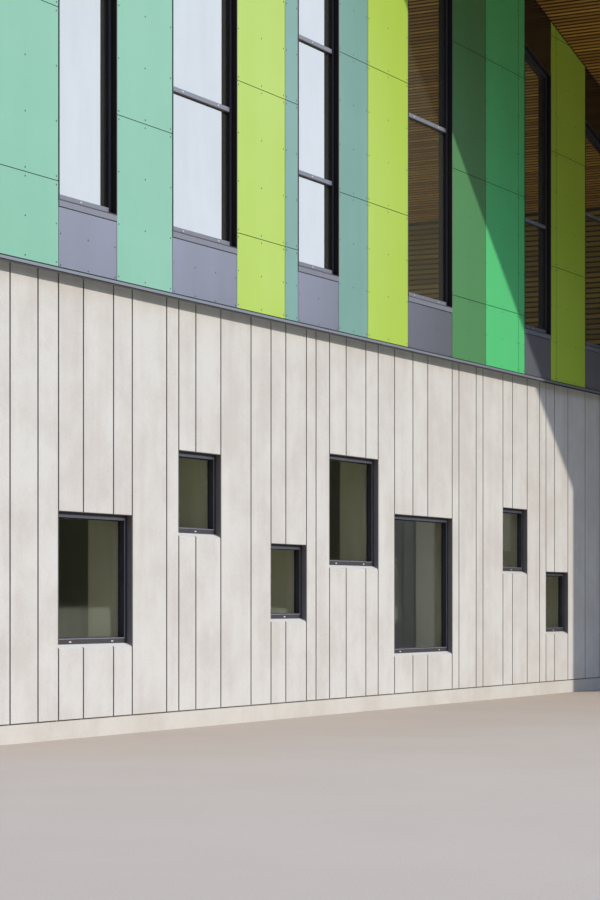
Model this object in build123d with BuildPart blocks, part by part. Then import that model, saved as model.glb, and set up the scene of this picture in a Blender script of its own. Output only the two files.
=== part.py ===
from build123d import *
from typing import NamedTuple
import os

os.makedirs("parts", exist_ok=True)

# School building: a concrete ground storey, a taller storey clad in coloured panels and one
# roof that falls to the right. A wing stands forward at the right end, and the roof runs out
# to its corner over a court. Millimetres, origin at ground level in the middle of the plan.

# Plan, on the outer faces of the concrete
building_length = 28800
main_depth = 11000
wing_start = 23640
wing_projection = 6140

# Heights above the ground
plinth_height = 190
storey_height = 4870
soffit_height_left = 15040
roof_fall = 0.27

# Floors
floor_thickness = 100
upper_floor_thickness = 320
upper_floor_bearing = 180

# Concrete wall elements
concrete_thickness = 580
bed_joint = 15
bed_joint_depth = 20
groove_width = 25
groove_depth = 16
element_joint_depth = 45
corner_joint = 10

# Staves between the grooves, left to right from the left end, repeated where the wall is longer
lead_staves = [580, 375, 470, 260, 505, 381]
front_staves = [
    495, 375, 470, 590, 380, 725, 265, 380, 575, 725, 500, 380, 545, 260, 375, 470, 575,
    370, 505, 585, 485, 830, 235, 615, 250, 750, 370, 580, 505, 265, 360, 575, 765, 670,
]
staves = lead_staves + front_staves
element_staves = [12, 30]

# Square ground windows
window_reveal = 65
sill_bevel = 40
ground_frame_face = 60
ground_frame_depth = 70
ground_lining_depth = 90
ground_glass_thickness = 28

# Upper storey: walls, panels and windows
upper_wall_inner = 250
panel_back = 80
panel_thickness = 10
panel_gap = 8
panel_module = 895
first_panel_gap = 15
soffit_clearance = 12
narrowest_column = 250
narrowest_window = 900

casing_thickness = 14
casing_proud = 6
tall_frame_face = 48
tall_frame_back = 54
tall_frame_depth = 110
tall_glass_thickness = 28
transom_height = 50
transom_depth = 34
sill_height = 5570
sill_lip = 60
sill_drip = 8
head_drop = 850

# Metal drip strip between concrete and panels
drip_reach = 105
drip_lip = 30
drip_thickness = 8

# Roof
roof_overhang = 130
canopy_start = 8330
canopy_tip = 60
deck_thickness = 350
lining_thickness = 60
fascia_thickness = 20
fascia_drop = 40
upstand_height = 90
upstand_width = 160
membrane_thickness = 12
deck_joint = 10

# Entrance under the canopy
door_middle = 3100
door_width = 2000
door_height = 2300
door_frame_face = 70
door_frame_depth = 90
door_setback = 120
door_gap = 4
door_leaf_rail = 110
door_leaf_depth = 60
door_glass_thickness = 24
hinge_plate = 60
hinge_height = 110
hinge_thickness = 4
hinge_pin_radius = 9
hinge_pin_seat = 2
hinge_heights = [250, 1100, 1950]
handle_width = 30
handle_thickness = 12
handle_stem = 18
handle_length = 900
handle_stand = 55
handle_middle = 950
handle_from_edge = 55
threshold_height = floor_thickness

x_left = -building_length / 2
x_right = building_length / 2
x_wing = x_left + wing_start
y_front = -(main_depth - wing_projection) / 2
y_wing = y_front - wing_projection
y_back = y_front + main_depth
panel_face = panel_back + panel_thickness
tall = 3 * soffit_height_left


class Side(NamedTuple):
    """One outer wall line, seen from outside from its left end to its right end."""

    name: str
    corner: tuple
    heading: tuple
    length: float
    starts: str
    ends: str
    first_stave: int
    first_column: int


front = Side("front", (x_left, y_front), (1, 0), wing_start, "through", "meets", 0, 0)
court = Side("court", (x_wing, y_front), (0, -1), wing_projection, "closes", "between", 9, 0)
wing = Side("wing", (x_wing, y_wing), (1, 0), building_length - wing_start, "through", "through", 17, 4)
right = Side("right", (x_right, y_wing), (0, 1), main_depth + wing_projection, "between", "between", 5, 9)
back = Side("back", (x_right, y_back), (-1, 0), building_length, "through", "through", 11, 2)
left = Side("left", (x_left, y_back), (0, -1), main_depth, "between", "between", 20, 7)
sides = [front, court, wing, right, back, left]
clad_sides = [front, wing, right, back, left]

# Ground windows of each side: first stave, number of staves, sill height, height
ground_windows = {
    "front": [
        (8, 3, 985, 1395), (13, 2, 2217, 935), (17, 2, 1227, 920), (21, 3, 1907, 1420),
        (25, 3, 738, 1885), (32, 2, 1899, 950), (36, 2, 971, 940),
    ],
    "court": [(2, 2, 1900, 940)],
    "wing": [(2, 3, 985, 1395), (7, 2, 1907, 940)],
    "right": [
        (3, 3, 1907, 1420), (9, 2, 985, 940), (15, 3, 738, 1885), (22, 2, 1899, 940), (29, 3, 985, 1395),
    ],
    "back": [
        (4, 3, 985, 1395), (10, 2, 2217, 935), (15, 3, 1907, 1420), (22, 3, 738, 1885),
        (29, 2, 1227, 920), (35, 3, 985, 1395), (47, 3, 1907, 1420),
    ],
    "left": [(3, 3, 985, 1395), (9, 2, 2217, 935), (14, 3, 738, 1885)],
}

# Columns of the upper storey from the left end of the front: colour or window, width, and the
# first panel joint in modules, or the heights of the transoms
columns = [
    ("teal", 845, 2), ("lime", 1350, 2), ("mint", 1200, 1),
    ("window", 1120, (8300, 10900)), ("mint", 1155, 2),
    ("window", 1470, (7200, 9800, 12300)), ("lime", 1190, 1), ("teal", 340, 1),
    ("window", 1110, (6760, 8440, 11000)), ("teal", 845, 2), ("lime", 1230, 2),
    ("window", 1460, (8070, 10600)), ("moss", 1200, 1), ("green", 1240, 1), ("green", 240, 1),
    ("window", 1070, (7250,)), ("lime", 230, 2), ("lime", 1260, 2),
    ("window", 1470, (7720,)), ("moss", 1200, 1), ("window", 1120, (7250,)), ("mint", 1290, 2),
]
colours = ["mint", "lime", "teal", "moss", "green"]


def face_plane(side):
    """The plane of a side's concrete face: x along it, y up, z outwards."""
    return Plane(
        origin=(side.corner[0], side.corner[1], 0),
        x_dir=(side.heading[0], side.heading[1], 0),
        z_dir=(side.heading[1], -side.heading[0], 0),
    )


def soffit_at(side, along, out=0):
    """Height of the soffit above a point of a side, out from its concrete face."""
    x = side.corner[0] + side.heading[0] * along + side.heading[1] * out
    return soffit_height_left - roof_fall * (x - x_left)


def plan_outline(reach):
    """The building's plan on the concrete faces, grown by reach."""
    return [
        (x_left - reach, y_front - reach),
        (x_wing - reach, y_front - reach),
        (x_wing - reach, y_wing - reach),
        (x_right + reach, y_wing - reach),
        (x_right + reach, y_back + reach),
        (x_left - reach, y_back + reach),
    ]


def raked_band(low, high):
    """Side view of what lies between two planes that run parallel to the soffit."""
    ends = [x_left - tall, x_right + tall]
    heights = [soffit_height_left - roof_fall * (x - x_left) for x in ends]
    with BuildSketch(Plane.XZ) as band:
        with BuildLine():
            Polyline(
                (ends[0], heights[0] + low),
                (ends[1], heights[1] + low),
                (ends[1], heights[1] + high),
                (ends[0], heights[0] + high),
                close=True,
            )
        make_face()
    return band.sketch


def end_offset(kind, outer, inner):
    """How far a layer stops short of a side's end, where its faces lie outer and inner of the face."""
    offsets = {
        "through": -outer,
        "between": inner + corner_joint,
        "meets": outer + corner_joint,
        "closes": -inner,
    }
    return offsets[kind]


def panel_offset(kind):
    """How far the panels stop short of a side's end, with one panel gap at each corner."""
    offsets = {
        "through": -panel_face,
        "between": -(panel_back - panel_gap),
        "meets": panel_face + panel_gap,
        "closes": panel_face + panel_gap,
    }
    return offsets[kind]


def stave_lines(side):
    """Distances of the grooves from the side's left end."""
    lines = [0]
    index = side.first_stave
    while lines[-1] + staves[index % len(staves)] < side.length:
        lines.append(lines[-1] + staves[index % len(staves)])
        index += 1
    return lines


def windows_of(side):
    """Ground windows of a side as left edge, right edge, sill and head."""
    lines = stave_lines(side)
    found = []
    for first, count, sill, height in ground_windows[side.name]:
        if first + count < len(lines):
            found.append((lines[first], lines[first + count], sill, sill + height))
    return found


def columns_of(side):
    """Columns of a clad side as kind, left edge, right edge and detail."""
    place = panel_offset(side.starts)
    finish = side.length - panel_offset(side.ends)
    index = side.first_column
    found = []
    while place < finish - 1:
        kind, width, detail = columns[index % len(columns)]
        edge = min(place + width, finish)
        if finish - edge < narrowest_column:
            edge = finish
        near_end = place < panel_face or edge == finish
        if kind == "window" and (near_end or edge - place < narrowest_window):
            kind = "mint"
            detail = 2
        found.append((kind, place, edge, detail))
        place = edge
        index += 1
    return found


def tall_windows(side):
    """Tall window openings of a clad side as left edge, right edge and transom heights."""
    return [(a, b, detail) for kind, a, b, detail in columns_of(side) if kind == "window"]


def head_at(side, along):
    """Height of the raked window heads."""
    return soffit_at(side, along) - head_drop


def raked_outline(side, begin, finish, low, drop):
    """Corners of a shape from a level bottom to a line that runs drop below the soffit."""
    return [
        (begin, low),
        (finish, low),
        (finish, soffit_at(side, finish, panel_face) - drop),
        (begin, soffit_at(side, begin, panel_face) - drop),
    ]


def save(builder, name):
    builder.part.label = name
    export_step(builder.part, f"parts/{name}.step")


# Floors
bearing_line = concrete_thickness - upper_floor_bearing

with BuildPart() as ground_floor:
    inside = concrete_thickness
    with BuildSketch():
        with BuildLine():
            Polyline(
                (x_left + inside, y_front + inside),
                (x_right - inside, y_front + inside),
                (x_right - inside, y_back - inside),
                (x_left + inside, y_back - inside),
                close=True,
            )
        make_face()
        with BuildLine():
            Polyline(
                (x_wing + inside, y_wing + inside),
                (x_right - inside, y_wing + inside),
                (x_right - inside, y_front + inside - corner_joint),
                (x_wing + inside, y_front + inside - corner_joint),
                close=True,
            )
        make_face()
    extrude(amount=floor_thickness)
save(ground_floor, "ground_floor_slab")

with BuildPart() as upper_floor:
    edge = bearing_line + corner_joint
    with BuildSketch(Plane.XY.offset(storey_height - upper_floor_thickness)):
        with BuildLine():
            Polyline(
                (x_left + edge, y_front + edge),
                (x_right - edge, y_front + edge),
                (x_right - edge, y_back - edge),
                (x_left + edge, y_back - edge),
                close=True,
            )
        make_face()
        with BuildLine():
            Polyline(
                (x_wing + edge, y_wing + edge),
                (x_right - edge, y_wing + edge),
                (x_right - edge, y_front + edge - corner_joint),
                (x_wing + edge, y_front + edge - corner_joint),
                close=True,
            )
        make_face()
    extrude(amount=upper_floor_thickness)
save(upper_floor, "upper_floor_slab")

# Plinth, one straight length for each side
with BuildPart() as plinth:
    for side in sides:
        begin = end_offset(side.starts, 0, concrete_thickness)
        finish = side.length - end_offset(side.ends, 0, concrete_thickness)
        with BuildSketch(face_plane(side)):
            with BuildLine():
                Polyline(
                    (begin, 0),
                    (finish, 0),
                    (finish, plinth_height),
                    (begin, plinth_height),
                    close=True,
                )
            make_face()
            if side is court:
                with BuildLine():
                    Polyline(
                        (door_middle - door_width / 2, threshold_height),
                        (door_middle + door_width / 2, threshold_height),
                        (door_middle + door_width / 2, plinth_height),
                        (door_middle - door_width / 2, plinth_height),
                        close=True,
                    )
                make_face(mode=Mode.SUBTRACT)
        extrude(amount=-concrete_thickness)
save(plinth, "plinth")


# Grooved concrete walls with their scattered square windows
def concrete_wall(side):
    plane = face_plane(side)
    begin = end_offset(side.starts, 0, concrete_thickness)
    finish = side.length - end_offset(side.ends, 0, concrete_thickness)
    wall_height = storey_height - plinth_height
    with BuildPart() as wall:
        with BuildSketch(plane):
            with BuildLine():
                Polyline(
                    (begin, plinth_height),
                    (finish, plinth_height),
                    (finish, storey_height),
                    (begin, storey_height),
                    close=True,
                )
            make_face()
            for a, b, sill, head in windows_of(side):
                with Locations(((a + b) / 2, (sill + head) / 2)):
                    Rectangle(b - a, head - sill, mode=Mode.SUBTRACT)
            if side is court:
                top = threshold_height + door_height
                with Locations((door_middle, (plinth_height + top) / 2)):
                    Rectangle(door_width, top - plinth_height, mode=Mode.SUBTRACT)
        extrude(amount=-concrete_thickness)
        # ledge that carries the upper floor
        with BuildSketch(plane.offset(-bearing_line)):
            with Locations(((begin + finish) / 2, storey_height - upper_floor_thickness / 2)):
                Rectangle(finish - begin, upper_floor_thickness)
        extrude(amount=-upper_floor_bearing, mode=Mode.SUBTRACT)
        # the main upper floor runs through the inner corner
        if side.starts == "closes":
            with BuildSketch(plane):
                with BuildLine():
                    Polyline(
                        (begin, storey_height - upper_floor_thickness),
                        (-bearing_line, storey_height - upper_floor_thickness),
                        (-bearing_line, storey_height),
                        (begin, storey_height),
                        close=True,
                    )
                make_face()
            extrude(amount=-concrete_thickness, mode=Mode.SUBTRACT)
        # bed joint over the plinth
        with BuildSketch(plane):
            with Locations(((begin + finish) / 2, plinth_height + bed_joint / 2)):
                Rectangle(finish - begin, bed_joint)
        extrude(amount=-bed_joint_depth, mode=Mode.SUBTRACT)
        # grooves between the staves
        middle = plinth_height + wall_height / 2
        lines = [line for line in stave_lines(side) if begin + groove_width < line < finish - groove_width]
        shallow = [line for line in lines if stave_lines(side).index(line) not in element_staves]
        deep = [line for line in lines if line not in shallow]
        for group, depth in ((shallow, groove_depth), (deep, element_joint_depth)):
            if group:
                with BuildSketch(plane):
                    with Locations([(line, middle) for line in group]):
                        Rectangle(groove_width, wall_height)
                extrude(amount=-depth, mode=Mode.SUBTRACT)
        # sloping sills
        for a, b, sill, head in windows_of(side):
            corner = plane.from_local_coords((b, 0, 0))
            across = Plane(origin=corner, x_dir=plane.z_dir, z_dir=-plane.x_dir)
            with BuildSketch(across):
                with BuildLine():
                    Polyline((-window_reveal, sill), (0, sill), (0, sill - sill_bevel), close=True)
                make_face()
            extrude(amount=b - a, mode=Mode.SUBTRACT)
    return wall


for side in sides:
    save(concrete_wall(side), f"concrete_wall_{side.name}")


# Frames, inner linings and glass of the ground windows
def ground_rings(side, depth, thickness):
    """Rings in the ground window openings of a side, from a depth behind its face."""
    with BuildSketch(face_plane(side).offset(-depth)) as rings:
        for a, b, sill, head in windows_of(side):
            with Locations(((a + b) / 2, (sill + head) / 2)):
                Rectangle(b - a, head - sill)
                Rectangle(
                    b - a - 2 * ground_frame_face,
                    head - sill - 2 * ground_frame_face,
                    mode=Mode.SUBTRACT,
                )
    return extrude(rings.sketch, amount=-thickness, mode=Mode.PRIVATE)


glass_line = window_reveal + ground_frame_depth

with BuildPart() as ground_frames:
    for side in sides:
        add(ground_rings(side, window_reveal, ground_frame_depth))
save(ground_frames, "ground_window_frames")

with BuildPart() as ground_linings:
    for side in sides:
        add(ground_rings(side, glass_line, ground_lining_depth))
save(ground_linings, "ground_window_linings")

with BuildPart() as ground_glass:
    for side in sides:
        with BuildSketch(face_plane(side).offset(-glass_line)):
            for a, b, sill, head in windows_of(side):
                with Locations(((a + b) / 2, (sill + head) / 2)):
                    Rectangle(b - a - 2 * ground_frame_face, head - sill - 2 * ground_frame_face)
        extrude(amount=-ground_glass_thickness)
save(ground_glass, "ground_window_glass")

# Drip strip on top of the concrete, around the whole building
with BuildPart() as drip:
    for top, height, thickness in (
        (storey_height, drip_thickness, drip_reach),
        (storey_height, drip_lip, drip_thickness),
    ):
        with BuildSketch(Plane.XY.offset(top - height)):
            with BuildLine():
                Polyline(*plan_outline(drip_reach), close=True)
            make_face()
            with BuildLine():
                Polyline(*plan_outline(drip_reach - thickness), close=True)
            make_face(mode=Mode.SUBTRACT)
        extrude(amount=height)
save(drip, "drip_strip")


# Upper walls with their tall raked windows
def window_outline(side, a, b, inset, low):
    """Outline of a tall window, inset all round from its opening."""
    return [
        (a + inset, low + inset),
        (b - inset, low + inset),
        (b - inset, head_at(side, b - inset) - inset),
        (a + inset, head_at(side, a + inset) - inset),
    ]


def upper_wall(side):
    plane = face_plane(side)
    begin = end_offset(side.starts, panel_back, upper_wall_inner)
    finish = side.length - end_offset(side.ends, panel_back, upper_wall_inner)
    with BuildPart() as wall:
        with BuildSketch(plane.offset(panel_back)):
            with BuildLine():
                Polyline(*raked_outline(side, begin, finish, storey_height, -deck_thickness), close=True)
            make_face()
            if side in clad_sides:
                for a, b, detail in tall_windows(side):
                    with BuildLine():
                        Polyline(*window_outline(side, a, b, 0, sill_height), close=True)
                    make_face(mode=Mode.SUBTRACT)
        extrude(amount=-(panel_back + upper_wall_inner))
        extrude(raked_band(-tall, lining_thickness), amount=tall, both=True, mode=Mode.INTERSECT)
    return wall


for side in sides:
    save(upper_wall(side), f"upper_wall_{side.name}")


# Coloured panels, one node for each colour
def column_edges(a, b):
    return a + panel_gap / 2, b - panel_gap / 2


def panel_stack(side, a, b, low, first_joint):
    """Panels of one column as bottom and top heights, two modules tall above the first joint."""
    top = max(soffit_at(side, a), soffit_at(side, b)) - soffit_clearance
    joint = storey_height + first_joint * panel_module
    bottom = low
    found = []
    while bottom < top:
        found.append((bottom, joint - panel_gap / 2))
        bottom = joint + panel_gap / 2
        joint += 2 * panel_module
    return found


for colour in colours:
    with BuildPart() as panels:
        for side in clad_sides:
            chosen = [column for column in columns_of(side) if column[0] == colour]
            if not chosen:
                continue
            with BuildSketch(face_plane(side).offset(panel_back)):
                for kind, a, b, first_joint in chosen:
                    left_edge, right_edge = column_edges(a, b)
                    for low, high in panel_stack(side, a, b, storey_height + first_panel_gap, first_joint):
                        with Locations(((left_edge + right_edge) / 2, (low + high) / 2)):
                            Rectangle(right_edge - left_edge, high - low)
                with BuildLine():
                    Polyline(
                        *raked_outline(side, -tall, side.length + tall, -tall, soffit_clearance),
                        close=True,
                    )
                make_face(mode=Mode.INTERSECT)
            extrude(amount=panel_thickness)
    save(panels, f"panels_{colour}")

with BuildPart() as spandrels:
    for side in clad_sides:
        with BuildSketch(face_plane(side).offset(panel_back)):
            for a, b, detail in tall_windows(side):
                left_edge, right_edge = column_edges(a, b)
                low = storey_height + first_panel_gap
                high = sill_height - sill_lip - panel_gap
                with Locations(((left_edge + right_edge) / 2, (low + high) / 2)):
                    Rectangle(right_edge - left_edge, high - low)
        extrude(amount=panel_thickness)
save(spandrels, "panels_grey")

with BuildPart() as head_panels:
    for side in clad_sides:
        with BuildSketch(face_plane(side).offset(panel_back)):
            for a, b, detail in tall_windows(side):
                left_edge, right_edge = column_edges(a, b)
                with BuildLine():
                    Polyline(
                        (left_edge, head_at(side, left_edge) + panel_gap),
                        (right_edge, head_at(side, right_edge) + panel_gap),
                        (right_edge, soffit_at(side, right_edge) - soffit_clearance),
                        (left_edge, soffit_at(side, left_edge) - soffit_clearance),
                        close=True,
                    )
                make_face()
        extrude(amount=panel_thickness)
save(head_panels, "window_head_panels")

# Tall windows: casing and frame in one piece, transoms, glass and sills
frame_front = panel_back - tall_frame_back
frame_inset = casing_thickness + tall_frame_face
with BuildPart() as tall_frames:
    casing_front = panel_face + casing_proud
    for side in clad_sides:
        for layer, inset, depth in (
            (casing_front, casing_thickness, casing_front - frame_front),
            (frame_front, frame_inset, tall_frame_depth),
        ):
            with BuildSketch(face_plane(side).offset(layer)):
                for a, b, detail in tall_windows(side):
                    with BuildLine():
                        Polyline(*window_outline(side, a, b, 0, sill_height), close=True)
                    make_face()
                    with BuildLine():
                        Polyline(*window_outline(side, a, b, inset, sill_height), close=True)
                    make_face(mode=Mode.SUBTRACT)
            extrude(amount=-depth)
save(tall_frames, "tall_window_frames")

def transoms_of(side):
    """Transoms of a side as left edge, right edge and height, where they clear the head."""
    found = []
    for a, b, detail in tall_windows(side):
        clear_head = min(head_at(side, a), head_at(side, b)) - narrowest_column
        found += [(a, b, height) for height in detail if height < clear_head]
    return found


with BuildPart() as transoms:
    for side in clad_sides:
        if transoms_of(side):
            with BuildSketch(face_plane(side).offset(frame_front)):
                for a, b, height in transoms_of(side):
                    with Locations(((a + b) / 2, height)):
                        Rectangle(b - a - 2 * frame_inset, transom_height)
            extrude(amount=-transom_depth)
save(transoms, "tall_window_transoms")

with BuildPart() as tall_glass:
    for side in clad_sides:
        with BuildSketch(face_plane(side).offset(frame_front - transom_depth)):
            for a, b, detail in tall_windows(side):
                with BuildLine():
                    Polyline(*window_outline(side, a, b, frame_inset, sill_height), close=True)
                make_face()
        extrude(amount=-tall_glass_thickness)
save(tall_glass, "tall_window_glass")

with BuildPart() as sills:
    for side in clad_sides:
        with BuildSketch(face_plane(side).offset(panel_back)):
            for a, b, detail in tall_windows(side):
                left_edge, right_edge = column_edges(a, b)
                with Locations(((left_edge + right_edge) / 2, sill_height - sill_lip / 2)):
                    Rectangle(right_edge - left_edge, sill_lip)
        extrude(amount=panel_thickness + sill_drip)
save(sills, "tall_window_sills")

# Timber boards on the court wall of the wing
with BuildPart() as timber_wall:
    begin = panel_offset(court.starts)
    finish = court.length - panel_offset(court.ends)
    with BuildSketch(face_plane(court).offset(panel_back)):
        with BuildLine():
            Polyline(
                *raked_outline(court, begin, finish, storey_height + first_panel_gap, soffit_clearance),
                close=True,
            )
        make_face()
    extrude(amount=panel_thickness)
save(timber_wall, "timber_wall_boards")


# Roof on one raked plane
def roof_outline(inset):
    """Plan of the roof, inset on every side."""
    reach = roof_overhang - inset
    return [
        (x_left - reach, y_front - reach),
        (x_left + canopy_start, y_front - reach),
        (x_wing - canopy_tip, y_wing - reach),
        (x_right + reach, y_wing - reach),
        (x_right + reach, y_back + reach),
        (x_left - reach, y_back + reach),
    ]


deck_low = lining_thickness
deck_high = lining_thickness + deck_thickness
seam = y_front - roof_overhang + fascia_thickness

for name, low_edge, high_edge in (
    ("roof_deck_main", seam, y_back + roof_overhang),
    ("roof_deck_wing", y_wing - roof_overhang, seam - deck_joint),
):
    with BuildPart() as deck:
        with BuildSketch():
            with BuildLine():
                Polyline(*roof_outline(fascia_thickness), close=True)
            make_face()
            with Locations((0, (low_edge + high_edge) / 2)):
                Rectangle(2 * building_length, high_edge - low_edge, mode=Mode.INTERSECT)
        extrude(amount=tall)
        extrude(raked_band(deck_low, deck_high), amount=tall, both=True, mode=Mode.INTERSECT)
    save(deck, name)

with BuildPart() as membrane:
    with BuildSketch():
        with BuildLine():
            Polyline(*roof_outline(fascia_thickness), close=True)
        make_face()
        offset(amount=-(upstand_width - fascia_thickness))
    extrude(amount=tall)
    extrude(
        raked_band(deck_high, deck_high + membrane_thickness),
        amount=tall,
        both=True,
        mode=Mode.INTERSECT,
    )
save(membrane, "roof_membrane")

with BuildPart() as capping:
    with BuildSketch():
        with BuildLine():
            Polyline(*roof_outline(fascia_thickness), close=True)
        make_face()
        offset(amount=-(upstand_width - fascia_thickness), mode=Mode.SUBTRACT)
    extrude(amount=tall)
    extrude(
        raked_band(deck_high, deck_high + upstand_height),
        amount=tall,
        both=True,
        mode=Mode.INTERSECT,
    )
save(capping, "roof_edge_upstand")

with BuildPart() as fascia:
    with BuildSketch():
        with BuildLine():
            Polyline(*roof_outline(0), close=True)
        make_face()
        with BuildLine():
            Polyline(*roof_outline(fascia_thickness), close=True)
        make_face(mode=Mode.SUBTRACT)
    extrude(amount=tall)
    extrude(
        raked_band(-fascia_drop, deck_high + upstand_height),
        amount=tall,
        both=True,
        mode=Mode.INTERSECT,
    )
save(fascia, "roof_fascia")

with BuildPart() as soffit_boards:
    reveal = panel_face + panel_gap
    with BuildSketch():
        with BuildLine():
            Polyline(*roof_outline(fascia_thickness + panel_gap), close=True)
        make_face()
        with BuildLine():
            Polyline(
                (x_left + canopy_start, y_front - reveal),
                (x_left + canopy_start, y_wing),
                (x_wing - reveal, y_wing),
                (x_wing - reveal, y_front - reveal),
                close=True,
            )
        make_face(mode=Mode.INTERSECT)
    extrude(amount=tall)
    extrude(raked_band(0, lining_thickness), amount=tall, both=True, mode=Mode.INTERSECT)
save(soffit_boards, "canopy_soffit_boards")

# Entrance in the court wall
door_plane = face_plane(court).offset(-door_setback)
door_base = threshold_height
door_top = threshold_height + door_height

with BuildPart() as door_frame:
    with BuildSketch(door_plane):
        with Locations((door_middle, (door_base + door_top) / 2)):
            Rectangle(door_width, door_height)
            Rectangle(
                door_width - 2 * door_frame_face,
                door_height - 2 * door_frame_face,
                mode=Mode.SUBTRACT,
            )
    extrude(amount=-door_frame_depth)
save(door_frame, "door_frame")

leaf_width = (door_width - 2 * door_frame_face - 3 * door_gap) / 2
leaf_height = door_height - 2 * door_frame_face - 2 * door_gap
leaf_middles = [door_middle + hand * (leaf_width + door_gap) / 2 for hand in (-1, 1)]

with BuildPart() as door_leaves:
    with BuildSketch(door_plane):
        with Locations([(middle, (door_base + door_top) / 2) for middle in leaf_middles]):
            Rectangle(leaf_width, leaf_height)
            Rectangle(leaf_width - 2 * door_leaf_rail, leaf_height - 2 * door_leaf_rail, mode=Mode.SUBTRACT)
    extrude(amount=-door_leaf_depth)
save(door_leaves, "door_leaves")

with BuildPart() as door_glass:
    with BuildSketch(door_plane.offset(-(door_leaf_depth - door_glass_thickness) / 2)):
        with Locations([(middle, (door_base + door_top) / 2) for middle in leaf_middles]):
            Rectangle(leaf_width - 2 * door_leaf_rail, leaf_height - 2 * door_leaf_rail)
    extrude(amount=-door_glass_thickness)
save(door_glass, "door_glass")

hinge_lines = [door_middle + hand * (door_width / 2 - door_frame_face - door_gap / 2) for hand in (-1, 1)]
with BuildPart() as hinges:
    with BuildSketch(door_plane):
        with Locations([(line, door_base + height) for line in hinge_lines for height in hinge_heights]):
            Rectangle(hinge_plate, hinge_height)
    extrude(amount=hinge_thickness)
    reach = hinge_thickness + hinge_pin_radius - hinge_pin_seat
    pins = [door_plane.from_local_coords((line, 0, reach)) for line in hinge_lines]
    for height in hinge_heights:
        with BuildSketch(Plane.XY.offset(door_base + height - hinge_height / 2)):
            with Locations([(pin.X, pin.Y) for pin in pins]):
                Circle(hinge_pin_radius)
        extrude(amount=hinge_height)
save(hinges, "door_hinges")

with BuildPart() as handles:
    lines = [door_middle + hand * (door_gap / 2 + handle_from_edge) for hand in (-1, 1)]
    with BuildSketch(door_plane.offset(handle_stand)):
        with Locations([(line, door_base + handle_middle) for line in lines]):
            Rectangle(handle_width, handle_length)
    extrude(amount=handle_thickness)
    heights = [handle_middle + hand * (handle_length / 2 - handle_stand) for hand in (-1, 1)]
    with BuildSketch(door_plane):
        with Locations([(line, door_base + height) for line in lines for height in heights]):
            Rectangle(handle_stem, handle_stem)
    extrude(amount=handle_stand)
save(handles, "door_handles")
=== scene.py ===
import math

import bmesh
import bpy
from mathutils import Matrix, Vector


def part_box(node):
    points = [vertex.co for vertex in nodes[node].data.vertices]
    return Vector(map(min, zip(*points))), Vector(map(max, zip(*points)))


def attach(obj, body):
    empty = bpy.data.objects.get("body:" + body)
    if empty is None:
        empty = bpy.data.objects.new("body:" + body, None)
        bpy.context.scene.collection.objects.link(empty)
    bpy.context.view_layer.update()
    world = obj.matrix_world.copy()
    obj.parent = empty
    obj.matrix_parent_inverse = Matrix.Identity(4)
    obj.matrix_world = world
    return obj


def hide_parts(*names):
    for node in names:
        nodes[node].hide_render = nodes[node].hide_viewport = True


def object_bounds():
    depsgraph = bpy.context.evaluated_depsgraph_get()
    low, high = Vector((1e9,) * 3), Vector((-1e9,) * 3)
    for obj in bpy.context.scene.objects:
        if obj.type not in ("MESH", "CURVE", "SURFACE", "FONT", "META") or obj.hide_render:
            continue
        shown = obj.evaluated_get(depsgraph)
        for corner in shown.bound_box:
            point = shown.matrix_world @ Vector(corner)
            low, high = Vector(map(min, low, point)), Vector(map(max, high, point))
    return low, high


# School building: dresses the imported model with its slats, fixings, window trim and finishes.
# Metres, origin at ground level in the middle of the plan, +X along the front, +Z up.

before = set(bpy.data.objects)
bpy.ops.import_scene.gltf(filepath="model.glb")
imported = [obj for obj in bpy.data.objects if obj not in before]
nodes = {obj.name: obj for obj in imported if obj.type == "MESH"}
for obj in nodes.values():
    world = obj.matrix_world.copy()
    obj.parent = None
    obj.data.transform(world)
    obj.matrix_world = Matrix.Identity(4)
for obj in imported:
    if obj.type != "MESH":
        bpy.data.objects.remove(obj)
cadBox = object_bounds()
print("frame loaded,", len(nodes), "nodes")

# Camera, floor and light

cameraSettings = {
    "place": (-30.99, -15.83, 1.416),
    "heading": (0.8844, 0.4667, 0.0),
    "lens": 92.5,
    "sensor": 36,
    "shiftUp": 0.1704,
    "reach": 1500,
}
lightSettings = {
    "towardsSun": (0.549, -0.634, 0.545),
    "sunStrength": 3.7,
    "sunColour": (1.0, 0.925, 0.81),
    "sunAngle": 0.6,
    "lowSky": (0.22, 0.29, 0.43),
    "highSky": (1.25, 1.58, 2.35),
    "skyRise": (0.45, 0.85),
    "glowColour": (1.0, 1.06, 1.16),
    "glowReach": (0.94, 0.99),
    "treeColour": (0.05, 0.055, 0.035),
    "treeTop": 0.30,
    "treeBlur": 0.04,
    "clearing": (0.85, -0.50, 0.21),
    "clearingReach": (0.945, 0.985),
    "clearingTop": 0.085,
    "clearingColour": (0.98, 1.05, 1.43),
    "backdropColour": (0.80, 0.83, 0.87),
}
floorSettings = {
    "size": 1200.0,
    "light": (0.358, 0.295, 0.235),
    "dark": (0.346, 0.284, 0.225),
    "bounceNear": (0.38, 0.34, 0.29),
    "bounceFar": (0.10, 0.11, 0.05),
    "bounceReach": (3.0, 12.0),
}

camera = bpy.data.objects.new("camera", bpy.data.cameras.new("camera"))
bpy.context.scene.collection.objects.link(camera)
camera.location = cameraSettings["place"]
camera.rotation_euler = Vector(cameraSettings["heading"]).to_track_quat("-Z", "Y").to_euler()
camera.data.lens = cameraSettings["lens"]
camera.data.sensor_width = cameraSettings["sensor"]
camera.data.shift_y = cameraSettings["shiftUp"]
camera.data.clip_end = cameraSettings["reach"]
bpy.context.scene.camera = camera
bpy.context.scene.view_settings.view_transform = "Standard"

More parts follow.
